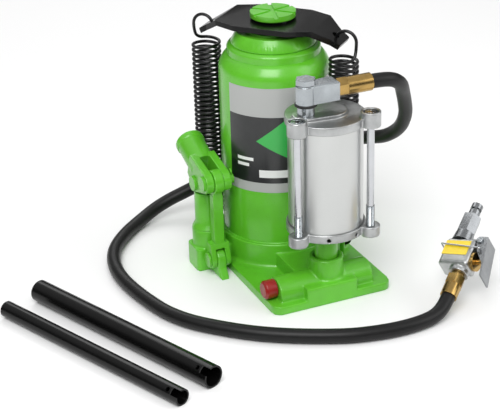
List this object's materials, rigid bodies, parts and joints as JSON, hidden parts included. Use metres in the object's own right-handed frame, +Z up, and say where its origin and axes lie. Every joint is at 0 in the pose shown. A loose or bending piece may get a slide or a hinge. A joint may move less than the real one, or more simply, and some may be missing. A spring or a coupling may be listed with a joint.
{
  "type": "bottle jack",
  "caption": "Air-hydraulic bottle jack: a ram lifted by a hand pump or an air motor, with return springs, a release valve, an air hose with a lever valve and a handle in separate tubes.",
  "frame": {"origin": "on the floor, on the ram's axis, under the base's flat underside", "axes": "+Z is up along the ram, -Y is the front with the air motor, +X is to the right of it, away from the hand pump"},
  "size_m": [0.4838, 0.3813, 0.27],
  "materials": {
    "green_paint": "glossy green enamel over a cast texture",
    "black_paint": "satin black paint",
    "spring_steel": "black oiled spring wire",
    "chrome_steel": "ground and chromed rod",
    "bare_steel": "bright zinc plated steel",
    "aluminium_cast": "cast aluminium, lightly polished",
    "aluminium_tube": "drawn and polished aluminium tube",
    "brass": "machined brass",
    "hose_rubber": "smooth black rubber",
    "seal_rubber": "moulded seal rubber",
    "red_paint": "dark red enamel",
    "label_film": "printed film in black, grey and green bands",
    "sticker_film": "yellow film"
  },
  "bodies": {
    "jack": {"base_casting": "green_paint", "check_valve_balls": "bare_steel", "relief_plug": "bare_steel", "reservoir_tube": "green_paint", "filler_plug": "seal_rubber", "label_sleeve": "label_film", "top_nut": "green_paint", "ram_wiper_seal": "seal_rubber", "lift_cylinder": "bare_steel", "pump_cylinder": "green_paint", "pump_gland_seal": "seal_rubber", "motor_sleeve": "green_paint", "motor_bottom_head": "aluminium_cast", "motor_cylinder": "aluminium_tube", "motor_gaskets": "seal_rubber", "motor_top_head": "aluminium_cast", "motor_tie_rods": "bare_steel", "motor_rod_nuts": "bare_steel", "swivel_stem": "bare_steel", "swivel_seal": "seal_rubber", "swivel_block": "bare_steel", "swivel_bolt": "bare_steel", "hose_elbow_fitting": "brass", "air_hose": "hose_rubber", "valve_hose_fitting": "brass", "valve_body": "aluminium_cast", "valve_sticker": "sticker_film", "valve_nipple": "bare_steel", "valve_cartridge": "brass", "handle_lower_tube": "black_paint", "handle_upper_tube": "black_paint"},
    "ram_assembly": {"ram": "chrome_steel", "ram_piston_seal": "seal_rubber", "spring_bar": "black_paint", "return_spring_left": "spring_steel", "return_spring_right": "spring_steel"},
    "stop_ring": {"screw_stop_ring": "bare_steel"},
    "screw_assembly": {"extension_screw": "bare_steel", "saddle": "green_paint"},
    "link": {"link_bar": "green_paint", "link_lower_pin": "bare_steel"},
    "socket_assembly": {"handle_socket": "green_paint", "link_upper_pin": "bare_steel", "plunger_pin": "bare_steel", "socket_cotters": "bare_steel"},
    "plunger": {"pump_plunger": "chrome_steel", "plunger_seal": "seal_rubber"},
    "release_valve": {"release_spindle": "bare_steel", "release_knob": "red_paint"},
    "air_piston_assembly": {"air_piston": "aluminium_cast", "air_piston_seal": "seal_rubber", "air_plunger": "chrome_steel", "air_return_spring": "spring_steel"},
    "lever": {"trigger_lever": "bare_steel", "trigger_pin": "bare_steel"},
    "stem": {"valve_stem": "brass"},
    "bail": {"wire_bail": "bare_steel"}
  },
  "joints": [
    {"name": "ram_lift", "type": "slide", "parent": "jack", "child": "ram_assembly", "axis": [0, 0, 1], "range_m": [0, 0.155], "deforming": ["return_spring_left", "return_spring_right"]},
    {"name": "screw_rise", "type": "slide", "parent": "ram_assembly", "child": "stop_ring", "axis": [0, 0, 1], "range_m": [0, 0.06]},
    {"name": "screw_turn", "type": "hinge", "parent": "stop_ring", "child": "screw_assembly", "pos_m": [0, 0, 0.2635], "axis": [0, 0, 1], "range_deg": [0, 4320]},
    {"name": "link_sway", "type": "hinge", "parent": "jack", "child": "link", "pos_m": [-0.0792, -0.0235, 0.018], "axis": [1, 0, 0], "range_deg": [0, 1]},
    {"name": "handle_pump", "type": "hinge", "parent": "link", "child": "socket_assembly", "pos_m": [-0.0792, -0.0235, 0.106], "axis": [1, 0, 0], "range_deg": [0, 40]},
    {"name": "plunger_stroke", "type": "slide", "parent": "jack", "child": "plunger", "axis": [0, 0, 1], "range_m": [0, 0.0195]},
    {"name": "release_turn", "type": "hinge", "parent": "jack", "child": "release_valve", "pos_m": [-0.055, -0.112, 0.019], "axis": [-1, 0, 0], "range_deg": [0, 270]},
    {"name": "air_piston_stroke", "type": "slide", "parent": "jack", "child": "air_piston_assembly", "axis": [0, 0, -1], "range_m": [0, 0.03], "stiffness_N_per_m": 600, "springref_m": -0.02, "deforming": ["air_return_spring"]},
    {"name": "lever_squeeze", "type": "hinge", "parent": "jack", "child": "lever", "pos_m": [0.14473, -0.18303, 0.05127], "axis": [0.4955, 0.0768, -0.8652], "range_deg": [0, 8], "stiffness_Nm_per_rad": 0.5, "springref_deg": -11.46},
    {"name": "stem_press", "type": "slide", "parent": "jack", "child": "stem", "axis": [-0.5061, 0.8351, -0.2157], "range_m": [0, 0.0028]},
    {"name": "bail_swing", "type": "hinge", "parent": "lever", "child": "bail", "pos_m": [0.13844, -0.19402, 0.04669], "axis": [-0.4955, -0.0768, 0.8652], "range_deg": [-12, 12]}
  ],
  "couplings": [
    {"joint": "screw_rise", "follows": "screw_turn", "m_per_rad": 0.00079577},
    {"joint": "link_sway", "follows": "handle_pump", "ratio": 0.0187},
    {"joint": "plunger_stroke", "follows": "handle_pump", "m_per_rad": 0.02715},
    {"joint": "stem_press", "follows": "lever_squeeze", "m_per_rad": 0.0195}
  ]
}
